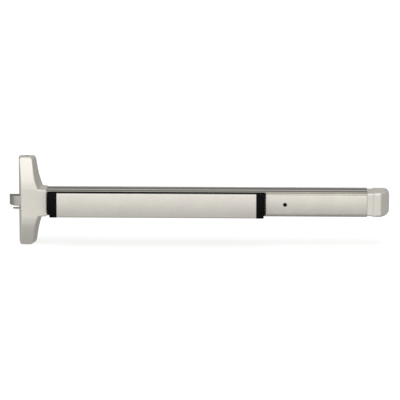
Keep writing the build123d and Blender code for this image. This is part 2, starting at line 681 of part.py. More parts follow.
def end_cap():
    cap = end_cap_solid(0) - end_cap_solid(CAP_WALL)
    inner = pad_outline(24.4, 0, 51.6, 1.6)
    cap -= along(inner, CAP_START, CAP_STEP + 2)
    cap -= rod_z(END_HOLE_X, CAP_SCREW_DEPTH, 2.2, -CAP_HALF - 1, -CAP_HALF + 3)
    return cap - rod_z(END_HOLE_X, CAP_SCREW_DEPTH, 3.6, -CAP_HALF, -CAP_HALF + 1.2)


def end_cap_screw():
    head = rod_z(END_HOLE_X, CAP_SCREW_DEPTH, 3.5, -CAP_HALF, -CAP_HALF + 1.2)
    return head + rod_z(END_HOLE_X, CAP_SCREW_DEPTH, 2.0, -CAP_HALF + 1.2, -21)


# ---- Write every sub-part ----
keep(base_channel(), "base_channel")
keep(rivets(), "bracket_rivets")
keep(web_screws(CHASSIS_SCREWS), "chassis_screws")
keep(web_screws(END_BRACKET_SCREWS), "end_bracket_screws")
keep(bar_guides(), "bar_guides")
keep(head_chassis(), "head_chassis")
keep(head_cover(), "head_cover")
keep(head_cover_screws(), "head_cover_screws")
keep(lever_stud(), "lever_stud")
keep(ring_y(LEVER_X, LEVER_Z, LEVER_STUD, 5.5, LEVER_FRONT + 0.4, LEVER_FRONT + 1.4), "lever_clip")
keep(travel_bumpers(), "travel_bumpers")
keep(spring_bracket(), "spring_bracket")
keep(dogging_bracket(), "dogging_bracket")
keep(rail_cover(), "rail_cover")
keep(end_bracket(), "end_bracket")
keep(end_cap(), "end_cap")
keep(end_cap_screw(), "end_cap_screw")

keep(push_pad_skin(), "push_pad_skin")
keep(pad_carrier(), "pad_carrier")
keep(pad_end_cap(PAD_LEFT, PAD_LEFT + PAD_CAP), "pad_end_cap_left")
keep(pad_end_cap(PAD_RIGHT - PAD_CAP, PAD_RIGHT), "pad_end_cap_right")
keep(pad_bracket_screws(), "pad_bracket_screws")

for side, x in CRANK_PIVOTS.items():
    keep(crank_bracket(x), f"crank_bracket_{side}")
    keep(crank_pin(x), f"crank_pin_{side}")
    keep(bell_crank(x), f"bell_crank_{side}")
    keep(crank_link_pins(x), f"crank_link_pins_{side}")
    keep(crank_bush(x), f"crank_bush_{side}")
    keep(pad_bracket(x), f"pad_bracket_{side}")

keep(draw_bar(), "draw_bar")
keep(draw_bar_end(), "draw_bar_end")
keep(rod_y(LEVER_X - BAR_TRAVEL / 2, BAR_PIN_Z, PIN, 6.2, BAR_END_DEPTH[1]), "draw_bar_pin")
keep(bar_rivets(), "draw_bar_rivets")
keep(spring_rod(), "spring_rod")
keep(dog_catch(), "dog_catch")

keep(retractor_lever(), "retractor_lever")
keep(ring_y(LEVER_X, LEVER_Z, LEVER_STUD + PIVOT_PLAY, LEVER_BORE, LEVER_BACK, LEVER_FRONT), "lever_bush")
keep(latchbolt(), "latchbolt")
keep(rod_y(LEVER_X - BAR_TRAVEL, BOLT_PIN_Z, PIN, 6.2, 20.0), "latchbolt_pin")
keep(deadlatch(), "deadlatch")

keep(dogging_screw(), "dogging_screw")
keep(dogging_cam(), "dogging_cam")
keep(ring_y(KEY_X, 0, DOG_SCREW, 6.5, DOG_DEPTH + 3.2, DOG_DEPTH + 4.4), "dogging_clip")

keep(
    coil_spring(ROD_DEPTH, ROD_Z, 5.0, 1.4, 8, ROD_START + 0.2, SPRING_BRACKET_X - 0.2),
    "main_return_spring",
)
keep(
    coil_spring(SPRING_BORE_DEPTH, BOLT_PIN_Z, 4.2, 1.0, 9, -29.8, SPRING_WALL_X[0] - 0.2),
    "latchbolt_spring",
)
deadlatch_middle = (DEADLATCH_LOW + DEADLATCH_HIGH) / 2
keep(
    coil_spring(27.5, deadlatch_middle, 1.1, 0.6, 9, BOLT_TAIL + 0.2, SPRING_WALL_X[0] - 0.2),
    "deadlatch_spring",
)
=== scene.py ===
import math

import bmesh
import bpy
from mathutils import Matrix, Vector


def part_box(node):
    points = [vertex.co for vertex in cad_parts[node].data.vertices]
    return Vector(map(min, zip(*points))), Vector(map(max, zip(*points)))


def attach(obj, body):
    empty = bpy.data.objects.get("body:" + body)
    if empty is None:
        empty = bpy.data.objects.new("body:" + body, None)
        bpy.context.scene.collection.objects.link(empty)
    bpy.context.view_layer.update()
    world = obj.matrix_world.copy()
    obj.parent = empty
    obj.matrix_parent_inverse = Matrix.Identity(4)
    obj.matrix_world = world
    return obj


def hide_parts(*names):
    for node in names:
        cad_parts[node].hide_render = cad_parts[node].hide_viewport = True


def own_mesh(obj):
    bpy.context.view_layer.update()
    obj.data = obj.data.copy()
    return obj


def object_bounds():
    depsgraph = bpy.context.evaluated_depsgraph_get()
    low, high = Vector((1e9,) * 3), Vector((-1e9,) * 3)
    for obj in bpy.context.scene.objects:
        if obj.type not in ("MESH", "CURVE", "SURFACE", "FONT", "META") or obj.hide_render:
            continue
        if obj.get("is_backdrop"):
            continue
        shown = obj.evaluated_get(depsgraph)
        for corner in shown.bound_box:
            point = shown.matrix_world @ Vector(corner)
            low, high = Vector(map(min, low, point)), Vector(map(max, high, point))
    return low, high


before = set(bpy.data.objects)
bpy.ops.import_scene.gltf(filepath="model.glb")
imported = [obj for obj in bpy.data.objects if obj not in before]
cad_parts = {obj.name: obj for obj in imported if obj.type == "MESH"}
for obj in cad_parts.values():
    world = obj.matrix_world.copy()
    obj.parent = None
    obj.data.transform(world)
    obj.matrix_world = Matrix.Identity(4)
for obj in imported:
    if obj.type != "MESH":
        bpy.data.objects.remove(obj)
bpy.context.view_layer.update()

# Directions used throughout: x runs along the rail, d is the depth out from the door
# (the frame's -Y) and z is up. Shapes are drawn in millimetres, where the frame has them.
MM = 0.001
# Points of a mesh that are closer than this, in metres, become one
WELD = 2e-6
# An inset follows a corner's mitre down to this cosine, so that a sharp corner stays close
LEAST_MITRE = 0.4

# ---- Sizes of the covers ----
# Latch head at heights from its middle: right edge at the door, the face's left and right, its depth
HEAD_TABLE = [
    (31.0, 35.5, -12.0, 26.9, 54.0),
    (46.0, 31.0, -12.3, 22.0, 52.6),
    (60.0, 27.1, -13.1, 18.5, 48.5),
    (80.0, 23.3, -14.7, 15.1, 39.0),
    (102.5, 20.0, -16.5, 12.0, 25.0),
]
DOOR_RIGHT, FACE_LEFT, FACE_RIGHT, FACE_DEPTH = range(1, 5)
HEAD_WALL = 2.3
HEAD_CORNER = 6.0
UPPER_ARM_START = 40.5
LOWER_ARM_START = 35.5
ARM_END_LENGTH = 7.5
ARM_END_ROUNDING = 2.2
# The left wall leans in from the door to the face
LEFT_WALL_LEAN = 7.5 / 54.0

NECK_HALF = 30.7
NECK_HALF_FLAT = 9.0
NECK_CORNER = 4.0
NECK_TAPER = (-14.0, 0.9)
NECK_ROUNDING = 2.4
NECK_DROP = 0.4
NECK_DROP_START = 25.0
NECK_DROP_LENGTH = 18.0
# Hollow corner between an arm and the neck, its height on the face and at the door
HOLLOW_START = 37.0
HOLLOW_FACE = 31.9
HOLLOW_DOOR = 31.7
HOLLOW_RADIUS = 3.2
HOLLOW_ROUNDING = 3.6

TUNNEL_START = 15.0
WINDOW_PLAY = 0.8
WINDOW_CORNER = 1.2
# How much wider a window is, at how far inwards from the outside of the wall
WINDOW_STATIONS = ((0.7, -1.0), (0.7, -0.1), (0.0, 0.6), (0.0, 9.0))
# Seat of a cover's screw: (distance inwards, radius)
SCREW_SEAT = [(-3.0, 3.9), (0.0, 3.9), (0.3, 3.6), (1.2, 3.6), (1.2, 2.2), (6.0, 2.2)]

CAP_WALL = 2.2
CAP_COLLAR = 12.3
CAP_COLLAR_STEP = 1.8
CAP_COLLAR_CORNER = 4.0
CAP_CORNER = 13.0
CAP_ROUNDING = 6.0
# The cap's front bends down this far from the closed end, and falls by this much per millimetre
CAP_BEND = 20.0
CAP_BEND_RADIUS = 7.0
CAP_FALL = 1.5
# The cap is open towards the door from this depth down
CAP_FOOT = 0.03

# ---- Sizes of the rail, its cover and the pad ----
RAIL_WALL = 3.0
LIP_HALF_GAP = 24.6
# The upper lip has a narrow flat edge and falls inwards, the lower one falls outwards
TOP_LIP_LAND = 1.3
TOP_LIP_FALL = 2.0
BOTTOM_LIP_FALL = 2.6
# Grooves along the rail: (start, end, depth, slant of the sides, rounding of mouth and bed)
RAIL_GROOVES = ((3.0, 8.0, 0.8, 0.3, 0.25, 0.2), (29.9, 36.1, 1.2, 0.4, 0.3, 0.3))
# Depth of the hooks and feet that are held behind the rail's lips
HOOK_FRONT = 47.7
HOOK_BACK = 45.5
HOOK_LENGTH = 2.9
COVER_WALL = 2.4
KEY_HOLE = [(-1.0, 4.8), (0.0, 4.7), (0.4, 4.4), (8.0, 4.4)]

SKIN_WALL = 2.0
CARRIER_HALF = 22.0
CARRIER_FOOT_HALF = 25.6
CARRIER_WALL = 3.0
CARRIER_WEB = 3.5
CARRIER_CORNER = 2.4
PAD_SCREW_RADIUS = 2.0
PAD_SCREW_OFFSET = (9.5, 13.0)
PAD_CAP_ROUNDING = 2.2
PAD_CAP_CORNER = 3.4
PAD_CAP_DEPTH = 60.0
# The carrier's web starts this far inside the pad's ends
WEB_MARGIN = 3.0

# ---- Sizes of the bolts ----
NOSE_PULL = 0.36
NOSE_FLAT_FALL = 1.2
LATCHBOLT_NOSE = (-17.5, 17.5)
LATCHBOLT_BACK = -6.0
LATCHBOLT_TAIL_DEPTH = 9.0
LATCHBOLT_TAIL_HALF = 8.0
LATCHBOLT_BORE_START = -23.0
LATCHBOLT_BORE_RADIUS = 5.5
LATCHBOLT_PIN_RADIUS = 2.5
DEADLATCH_NOSE = (-18.0, 25.0)


# ---- Drawing helpers ----
def point(x, d, z):
    return Vector((x, -d, z)) * MM


def extent(node):
    """Lowest and highest x, d and z of a CAD node, in millimetres."""
    low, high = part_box(node)
    return {
        "x": (low.x / MM, high.x / MM),
        "d": (-high.y / MM, -low.y / MM),
        "z": (low.z / MM, high.z / MM),
    }


def share(value, start, length):
    """How far value is along a stretch, from 0 to 1."""
    return min(max((value - start) / length, 0.0), 1.0)


def mirrored(corners):
    return [(d, -z, radius) for d, z, radius in reversed(corners)]


def corner_arc(corner, back, ahead, radius, steps):
    """Points that round a corner between two directions with an arc."""
    half = back.angle(ahead) / 2
    reach = radius / math.tan(half)
    weight = math.sin(half)
    start = corner + back.normalized() * reach
    end = corner + ahead.normalized() * reach
    points = []
    for k in range(steps + 1):
        t = k / steps
        a, b, c = (1 - t) ** 2, 2 * weight * t * (1 - t), t * t
        points.append((start * a + corner * b + end * c) / (a + b + c))
    return points


def rounded(corners, steps=5):
    """Closed outline through corners given as (u, v, radius)."""
    outline = []
    for i, (u, v, radius) in enumerate(corners):
        here = Vector((u, v))
        if radius == 0:
            outline.append(here)
            continue
        back = Vector(corners[i - 1][:2]) - here
        ahead = Vector(corners[(i + 1) % len(corners)][:2]) - here
        outline += corner_arc(here, back, ahead, radius, steps)
    return outline


def inset(outline, distance):
    """The outline drawn in by a small distance."""
    turn = sum(outline[i - 1].cross(outline[i]) for i in range(len(outline)))
    side = 1 if turn > 0 else -1
    moved = []
    for i, here in enumerate(outline):
        before = (here - outline[i - 1]).normalized()
        after = (outline[(i + 1) % len(outline)] - here).normalized()
        before_normal = Vector((-before.y, before.x)) * side
        after_normal = Vector((-after.y, after.x)) * side
        middle = (before_normal + after_normal).normalized()
        moved.append(here + middle * distance / max(middle.dot(before_normal), LEAST_MITRE))
    return moved


def between(value, table, column):
    """Smooth value of one column of a table at a given first column."""
    if value <= table[0][0]:
        return table[0][column]
    stretches = list(zip(table, table[1:]))
    slopes = [(after[column] - row[column]) / (after[0] - row[0]) for row, after in stretches]
    tangents = [0.0]
    for a, b in zip(slopes, slopes[1:]):
        tangents.append(0.0 if a * b <= 0 else 2 * a * b / (a + b))
    tangents.append(slopes[-1])
    for i, (row, after) in enumerate(stretches):
        if value <= after[0]:
            span = after[0] - row[0]
            t = (value - row[0]) / span
            placed_part = (2 * t**3 - 3 * t**2 + 1) * row[column] + (3 * t**2 - 2 * t**3) * after[column]
            sloped_part = (t**3 - 2 * t**2 + t) * tangents[i] + (t**3 - t**2) * tangents[i + 1]
            return placed_part + span * sloped_part
    return table[-1][column]


# ---- Mesh helpers ----
def band(rows, count):
    """Quads between neighbouring closed rows of points."""
    faces = []
    for r in range(rows - 1):
        for i in range(count):
            a = r * count + i
            b = r * count + (i + 1) % count
            faces.append((a, b, b + count, a + count))
    return faces


def add_piece(name, points, faces):
    mesh = bpy.data.meshes.new(name)
    mesh.from_pydata([tuple(p) for p in points], [], faces)
    work = bmesh.new()
    work.from_mesh(mesh)
    bmesh.ops.remove_doubles(work, verts=work.verts, dist=WELD)
    bmesh.ops.recalc_face_normals(work, faces=work.faces)
    work.to_mesh(mesh)
    work.free()
    piece = bpy.data.objects.new(name, mesh)
    bpy.context.scene.collection.objects.link(piece)
    return piece


def lofted(name, rows):
    """Solid through closed rows of points, its two ends flat."""
    count = len(rows[0])
    points = [p for row in rows for p in row]
    faces = band(len(rows), count)
    faces.append(tuple(range(count)))
    faces.append(tuple(range(len(points) - count, len(points))))
    return add_piece(name, points, faces)


def run_along(name, section, x0, x1, ease=0.3):
    """Bar along the rail with a (d, z) section and eased ends."""
    drawn_in = inset(section, ease)
    stations = [(x0, drawn_in), (x0 + ease, section), (x1 - ease, section), (x1, drawn_in)]
    return lofted(name, [[point(x, p.x, p.y) for p in outline] for x, outline in stations])


def run_up(name, plan, z0, z1, ease, steps=3):
    """Block upwards with an (x, d) plan and rounded rims."""
    stations = []
    for k in range(steps + 1):
        angle = math.pi / 2 * k / steps
        stations.append((z0 + ease * (1 - math.cos(angle)), ease * (1 - math.sin(angle))))
    stations += [(z0 + z1 - z, draw) for z, draw in reversed(stations)]
    rows = [[point(p.x, p.y, z) for p in inset(plan, draw)] for z, draw in stations]
    return lofted(name, rows)


def turned(name, start, axis, profile, sides=48):
    """Turned solid: the profile gives (distance along the axis, radius) in millimetres."""
    axis = Vector(axis).normalized()
    across = axis.orthogonal().normalized()
    other = axis.cross(across)
    rows = []
    for along, radius in profile:
        ring = []
        for k in range(sides):
            angle = 2 * math.pi * k / sides
            spoke = across * math.cos(angle) + other * math.sin(angle)
            ring.append(start + (axis * along + spoke * radius) * MM)
        rows.append(ring)
    return lofted(name, rows)


def settle(piece):
    """Keep the result of the modifiers as the piece's mesh."""
    graph = bpy.context.evaluated_depsgraph_get()
    mesh = bpy.data.meshes.new_from_object(piece.evaluated_get(graph))
    piece.modifiers.clear()
    piece.data = mesh


def combine(piece, operation, other):
    step = piece.modifiers.new(operation.lower(), "BOOLEAN")
    step.operation = operation
    step.solver = "EXACT"
    step.object = other
    settle(piece)


def cut(piece, *tools):
    """Cut away tools that don't touch one another."""
    for other in tools[1:]:
        merged = bmesh.new()
        merged.from_mesh(tools[0].data)
        merged.from_mesh(other.data)
        merged.to_mesh(tools[0].data)
        merged.free()
    combine(piece, "DIFFERENCE", tools[0])
    for tool in tools:
        bpy.data.objects.remove(tool, do_unlink=True)


def join(piece, other):
    combine(piece, "UNION", other)
    bpy.data.objects.remove(other, do_unlink=True)


def placed(piece, body, slot, *nodes, crease=40.0):
    """Shade the piece, give it its finish and let it ride on a body in place of CAD nodes."""
    mesh = piece.data
    mesh.polygons.foreach_set("use_smooth", [True] * len(mesh.polygons))
    mesh.set_sharp_from_angle(angle=math.radians(crease))
    step = piece.modifiers.new("shading", "WEIGHTED_NORMAL")
    step.keep_sharp = True
    step.weight = 80
    mesh.materials.clear()
    mesh.materials.append(FINISHES[slot])
    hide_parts(*nodes)
    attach(piece, body)


# ---- Finishes ----
class Graph:
    """Short names for the nodes of one material."""

    def __init__(self, name):
        self.material = bpy.data.materials.new(name)
        self.material.use_nodes = True
        self.tree = self.material.node_tree
        self.shader = self.tree.nodes["Principled BSDF"]
        self.coordinates = self.tree.nodes.new("ShaderNodeTexCoord").outputs["Object"]

    def connect(self, value, socket):
        """Link an output, or set a uniform value on the socket itself."""
        if isinstance(value, bpy.types.NodeSocket):
            self.tree.links.new(value, socket)
        else:
            socket.default_value = value

    def node(self, kind, settings=(), **inputs):
        made = self.tree.nodes.new("ShaderNode" + kind)
        for key, value in dict(settings).items():
            setattr(made, key, value)
        for key, value in inputs.items():
            self.connect(value, made.inputs[key.replace("_", " ")])
        return made

    def noise(self, stretch, detail=3.0):
        spread = self.node("Mapping", Vector=self.coordinates, Scale=stretch)
        made = self.node(
            "TexNoise", Vector=spread.outputs["Vector"], Scale=1.0, Detail=detail, Roughness=0.55
        )
        return made.outputs["Fac"]

    def remap(self, value, low, high, new_low, new_high):
        made = self.node(
            "MapRange",
            {"clamp": True},
            Value=value,
            From_Min=low,
            From_Max=high,
            To_Min=new_low,
            To_Max=new_high,
        )
        return made.outputs["Result"]

    def blend(self, amount, first, second):
        made = self.node("Mix", {"data_type": "RGBA"})
        self.connect(amount, made.inputs["Factor"])
        for socket, value in ((made.inputs[6], first), (made.inputs[7], second)):
            self.connect((*value, 1.0) if isinstance(value, tuple) else value, socket)
        return made.outputs[2]

    def edges(self, radius):
        """0 on flat ground, rising towards 1 on the edges of the shape."""
        soft = self.node("Bevel", {"samples": 4}, Radius=radius * MM).outputs["Normal"]
        true = self.node("NewGeometry").outputs["Normal"]
        facing = self.node("VectorMath", {"operation": "DOT_PRODUCT"})
        self.connect(soft, facing.inputs[0])
        self.connect(true, facing.inputs[1])
        return self.remap(facing.outputs["Value"], 0.99, 0.86, 0.0, 1.0)

    def to_shader(self, socket, value):
        self.connect(value, self.shader.inputs[socket])


# Density per metre, along x, y and z, of a finish's grain, soft patches and handling marks
BRUSHED = (45.0, 2600.0, 2600.0)
ROLLED = (120.0, 1500.0, 1500.0)
PEBBLED = (900.0, 900.0, 900.0)
UPRIGHT = (900.0, 900.0, 60.0)
FINE = (1800.0, 1800.0, 1800.0)
PATCHES = (22.0, 28.6, 24.2)
HANDLING = (160.0, 160.0, 160.0)
# Specks are this much denser than the grain, and darker than the colour
SPECK_DENSITY = 2.7
SPECK_SHADE = 0.86
# Width of a worn edge in millimetres
WORN_EDGE = 0.7


def finish_of(name, colour, tint, metal, rough, grain, relief, worn=None, specular=0.5):
    """Procedural finish.

    colour and tint alternate in soft patches, rough is the roughness range over the fine grain,
    relief is the grain's height in millimetres, and worn the colour that shows where edges have
    been handled.
    """
    g = Graph(name)
    fine = g.noise(grain)
    broad = g.noise(PATCHES, detail=4.0)
    speck = g.noise(tuple(SPECK_DENSITY * value for value in grain), detail=1.0)
    shade = g.blend(g.remap(broad, 0.35, 0.65, 0.0, 1.0), colour, tint)
    darker = tuple(SPECK_SHADE * value for value in colour)
    shade = g.blend(g.remap(speck, 0.42, 0.78, 0.0, 0.55), shade, darker)
    if worn:
        handled = g.noise(HANDLING, detail=4.0)
        amount = g.node("Math", {"operation": "MULTIPLY"})
        g.connect(g.edges(WORN_EDGE), amount.inputs[0])
        g.connect(g.remap(handled, 0.4, 0.62, 0.15, 0.75), amount.inputs[1])
        shade = g.blend(amount.outputs["Value"], shade, worn)
    g.to_shader("Base Color", shade)
    g.to_shader("Metallic", metal)
    g.to_shader("Roughness", g.remap(fine, 0.3, 0.7, *rough))
    bump = g.node("Bump", Strength=0.6, Distance=relief * MM, Height=fine)
    g.to_shader("Normal", bump.outputs["Normal"])
    g.to_shader("Specular IOR Level", specular)
    return g.material


FINISH_SETTINGS = {
    "satin_cast_metal": dict(
        colour=(0.80, 0.775, 0.70), tint=(0.77, 0.75, 0.69), metal=0.6, rough=(0.36, 0.46),
        grain=PEBBLED, relief=0.02, worn=(0.88, 0.86, 0.80)),
    "satin_aluminium": dict(
        colour=(0.87, 0.845, 0.765), tint=(0.84, 0.80, 0.745), metal=0.95, rough=(0.24, 0.34),
        grain=BRUSHED, relief=0.010, worn=(0.93, 0.92, 0.88)),
    "rail_aluminium": dict(
        colour=(0.62, 0.60, 0.55), tint=(0.58, 0.56, 0.52), metal=1.0, rough=(0.15, 0.25),
        grain=BRUSHED, relief=0.012, worn=(0.78, 0.76, 0.72)),
    "zinc_plated_steel": dict(
        colour=(0.56, 0.56, 0.51), tint=(0.47, 0.49, 0.50), metal=1.0, rough=(0.3, 0.5),
        grain=ROLLED, relief=0.02, worn=(0.70, 0.70, 0.68)),
    "fastener_steel": dict(
        colour=(0.46, 0.46, 0.45), tint=(0.40, 0.40, 0.41), metal=1.0, rough=(0.26, 0.42),
        grain=FINE, relief=0.01, worn=(0.68, 0.68, 0.68)),
    "bolt_steel": dict(
        colour=(0.62, 0.60, 0.55), tint=(0.54, 0.53, 0.50), metal=1.0, rough=(0.2, 0.32),
        grain=UPRIGHT, relief=0.012, worn=(0.78, 0.77, 0.72)),
    # The dogging screw takes this near-black finish: partly a black-oxide finish, partly painted shade so
    # that the key hole in front of it reads as a dark hollow.
    "blackened_steel": dict(
        colour=(0.012, 0.012, 0.013), tint=(0.02, 0.019, 0.018), metal=0.6, rough=(0.4, 0.6),
        grain=FINE, relief=0.01, worn=(0.06, 0.06, 0.06)),
    "spring_steel": dict(
        colour=(0.30, 0.30, 0.31), tint=(0.24, 0.24, 0.26), metal=1.0, rough=(0.28, 0.44),
        grain=FINE, relief=0.01),
    "black_plastic": dict(
        colour=(0.003, 0.003, 0.003), tint=(0.004, 0.0035, 0.0035), metal=0.0, rough=(0.12, 0.20),
        grain=FINE, relief=0.008, worn=(0.02, 0.02, 0.02), specular=0.06),
    "white_nylon": dict(
        colour=(0.72, 0.71, 0.66), tint=(0.66, 0.65, 0.60), metal=0.0, rough=(0.42, 0.58),
        grain=FINE, relief=0.02),
    "bronze": dict(
        colour=(0.48, 0.30, 0.14), tint=(0.40, 0.24, 0.11), metal=1.0, rough=(0.3, 0.48),
        grain=FINE, relief=0.015, worn=(0.62, 0.42, 0.22)),
    "black_rubber": dict(
        colour=(0.02, 0.02, 0.02), tint=(0.028, 0.027, 0.026), metal=0.0, rough=(0.6, 0.85),
        grain=FINE, relief=0.04),
}
FINISHES = {name: finish_of(name, **settings) for name, settings in FINISH_SETTINGS.items()}


def finish_nodes():
    """Give each CAD node the finish that its material is named after."""
    for name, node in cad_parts.items():
        for holder in node.material_slots:
            # The dogging screw is made near-black, partly as a black-oxide finish and partly as painted
            # shade for the key hole in front of it.
            finish = "blackened_steel" if name == "dogging_screw" else holder.material.name.split(".")[0]
            holder.material = FINISHES[finish]


finish_nodes()


# ---- Moulded covers: a face, a rounded rim and walls down to the door ----
RIM_STEPS = 6
WALL_STEPS = 4


def cover_rows(rim, foot, depth_at, radii):
    """Rows of points from the edge of a cover's face, over its rounded rim and down to the door."""
    columns = []
    for i, here in enumerate(rim):
        tangent = (rim[(i + 1) % len(rim)] - rim[i - 1]).normalized()
        inner = here + Vector((-tangent.y, tangent.x)) * 0.5
        corner = Vector((here.x, depth_at(here.x, here.y), here.y))
        inwards = Vector((inner.x, depth_at(inner.x, inner.y), inner.y)) - corner
        low = Vector((foot[i].x, 0.0, foot[i].y))
        arc = corner_arc(corner, inwards, low - corner, radii[i], RIM_STEPS)
        arc[0].y = depth_at(arc[0].x, arc[0].z)
        wall = [arc[-1].lerp(low, k / WALL_STEPS) for k in range(1, WALL_STEPS + 1)]
        columns.append([point(*p) for p in arc + wall])
    return [[column[k] for column in columns] for k in range(len(columns[0]))]


def moulded(name, rim, foot, depth_at, radii, pairs, wall):
    """Cast cover, open towards the door.

    rim and foot are matching closed outlines in (x, z), anticlockwise; depth_at gives the
    face's depth; radii rounds the rim; pairs joins the rim's points across the face.
    """
    outside = cover_rows(rim, foot, depth_at, radii)
    inside = cover_rows(
        inset(rim, wall), inset(foot, wall), lambda x, z: depth_at(x, z) - wall,
        [max(radius - wall, 0.3) for radius in radii])
    rows = outside + list(reversed(inside))
    count = len(rim)
    last = (len(rows) - 1) * count
    faces = band(len(rows), count)
    for (a, b), (c, e) in zip(pairs, pairs[1:]):
        faces.append((a, b, e, c))
        faces.append((last + a, last + c, last + e, last + b))
    return add_piece(name, [p for row in rows for p in row], faces)


# ---- Latch head ----
class Head:
    """Outline of the latch head around the height of its middle, from the CAD node's extent."""

    def __init__(self):
        size = extent("head_cover")
        self.left, self.neck_end = size["x"]
        self.bottom, self.top = size["z"]
        self.middle = (self.bottom + self.top) / 2
        self.reach = (self.top - self.bottom) / 2

    def edge(self, z, column):
        """One column of the table at a height."""
        return between(abs(z - self.middle), HEAD_TABLE, column)

    def depth_at(self, x, z):
        return self.edge(z, FACE_DEPTH) - NECK_DROP * share(x, NECK_DROP_START, NECK_DROP_LENGTH)

    def rounding(self, z):
        """Rounding of the face's edge, smaller towards the end of an arm."""
        return 4.0 - 1.8 * share(abs(z - self.middle), 70.0, 22.0)

    def arm(self, sign, start, steps):
        """Right edge of one arm, from a distance to the head's middle to near its end."""
        length = self.reach - ARM_END_LENGTH - start
        points = []
        for k in range(steps + 1):
            z = self.middle + sign * (start + length * k / steps)
            points.append(((self.edge(z, FACE_RIGHT), z), (self.edge(z, DOOR_RIGHT), z), self.rounding(z)))
        return points

    def arm_end(self, sign, steps=8):
        """Rounded right-hand corner at the end of an arm."""
        end = self.middle + sign * self.reach
        rim_x, foot_x = self.edge(end, FACE_RIGHT), self.edge(end, DOOR_RIGHT)
        points = []
        for k in range(steps + 1):
            angle = math.pi / 2 * k / steps
            z = end - sign * HEAD_CORNER * (1 - math.sin(angle))
            fall = HEAD_CORNER * (1 - math.cos(angle))
            points.append(((rim_x - fall, z), (foot_x - fall, z), ARM_END_ROUNDING))
        return points

    def neck(self, sign):
        """From the arm, round the hollow corner, along the neck and round its end corner."""
        neck_corner = Vector((self.neck_end, NECK_HALF))
        hollow = []
        for column, level in ((FACE_RIGHT, HOLLOW_FACE), (DOOR_RIGHT, HOLLOW_DOOR)):
            above = Vector((self.edge(sign * HOLLOW_START, column), HOLLOW_START))
            turn = Vector((self.edge(sign * level, column), level))
            hollow.append(corner_arc(turn, above - turn, neck_corner - turn, HOLLOW_RADIUS, 6))
        points = []
        for rim, foot in zip(*hollow):
            points.append(((rim.x, sign * rim.y), (foot.x, sign * foot.y), HOLLOW_ROUNDING))
        for end in corner_arc(neck_corner, Vector(NECK_TAPER), Vector((0.0, -1.0)), NECK_CORNER, 6):
            place = (end.x, sign * end.y)
            points.append((place, place, NECK_ROUNDING))
        return points

    def right_edge(self):
        """The right edge from top to bottom, as (face's rim, foot at the door, rounding)."""
        points = list(reversed(self.arm_end(1))) + list(reversed(self.arm(1, UPPER_ARM_START, 26)))
        points += self.neck(1)
        for z in (NECK_HALF_FLAT, -NECK_HALF_FLAT):
            points.append(((self.neck_end, z), (self.neck_end, z), NECK_ROUNDING))
        points += list(reversed(self.neck(-1))) + self.arm(-1, LOWER_ARM_START, 28) + self.arm_end(-1)
        points.sort(key=lambda item: -item[0][1])
        return [(Vector(rim), Vector(foot), radius) for rim, foot, radius in points]

    def left_point(self, z):
        """The left edge at a height, as in right_edge."""
        over = share(abs(z - self.middle), self.reach - HEAD_CORNER, HEAD_CORNER) * HEAD_CORNER
        curve = HEAD_CORNER - math.sqrt(HEAD_CORNER**2 - over**2)
        rim = Vector((self.edge(z, FACE_LEFT) + curve, z))
        return rim, Vector((self.left + curve, z)), self.rounding(z)

    def shell(self):
        right = self.right_edge()
        left = [self.left_point(rim.y) for rim, foot, radius in right]
        # anticlockwise seen from the front: up the right side, down the left
        rim, foot, radii = (list(column) for column in zip(*reversed(right), *left))
        count = len(right)
        pairs = [(count - 1 - k, count + k) for k in range(count)]
        return moulded("latch_head_shell", rim, foot, self.depth_at, radii, pairs, HEAD_WALL)

    def tunnel(self):
        """Tool for the space that the rail's end takes."""
        rail = extent("base_channel")
        half, front = rail["z"][1] + 0.3, rail["d"][1] + 0.3
        section = rounded([(-1.0, -half, 0), (front, -half, 1.0), (front, half, 1.0), (-1.0, half, 0)])
        return run_along("tunnel", section, TUNNEL_START, self.neck_end + 1.0, ease=0.1)

    def window(self, bolt):
        """Tool for a bolt's opening in the left wall, its outer rim eased."""
        size = extent(bolt)
        rows = []
        for grow, shift in WINDOW_STATIONS:
            play = WINDOW_PLAY + grow
            low_d, high_d = size["d"][0] - play, size["d"][1] + play
            low_z, high_z = size["z"][0] - play, size["z"][1] + play
            corners = ((low_d, low_z), (high_d, low_z), (high_d, high_z), (low_d, high_z))
            outline = rounded([(d, z, WINDOW_CORNER) for d, z in corners])
            rows.append([point(self.left + LEFT_WALL_LEAN * p.x + shift, p.x, p.y) for p in outline])
        return lofted("window", rows)


def head_cover():
    head = Head()
    tools = [head.tunnel(), head.window("latchbolt"), head.window("deadlatch")]
    screws = extent("head_cover_screws")
    x, d = sum(screws["x"]) / 2, sum(screws["d"]) / 2
    for end, inwards in ((head.top, -1), (head.bottom, 1)):
        tools.append(turned("seat", point(x, d, end), (0, 0, inwards), SCREW_SEAT))
    shell = head.shell()
    cut(shell, *tools)
    placed(shell, "fixed_frame", "satin_cast_metal", "head_cover")


head_cover()


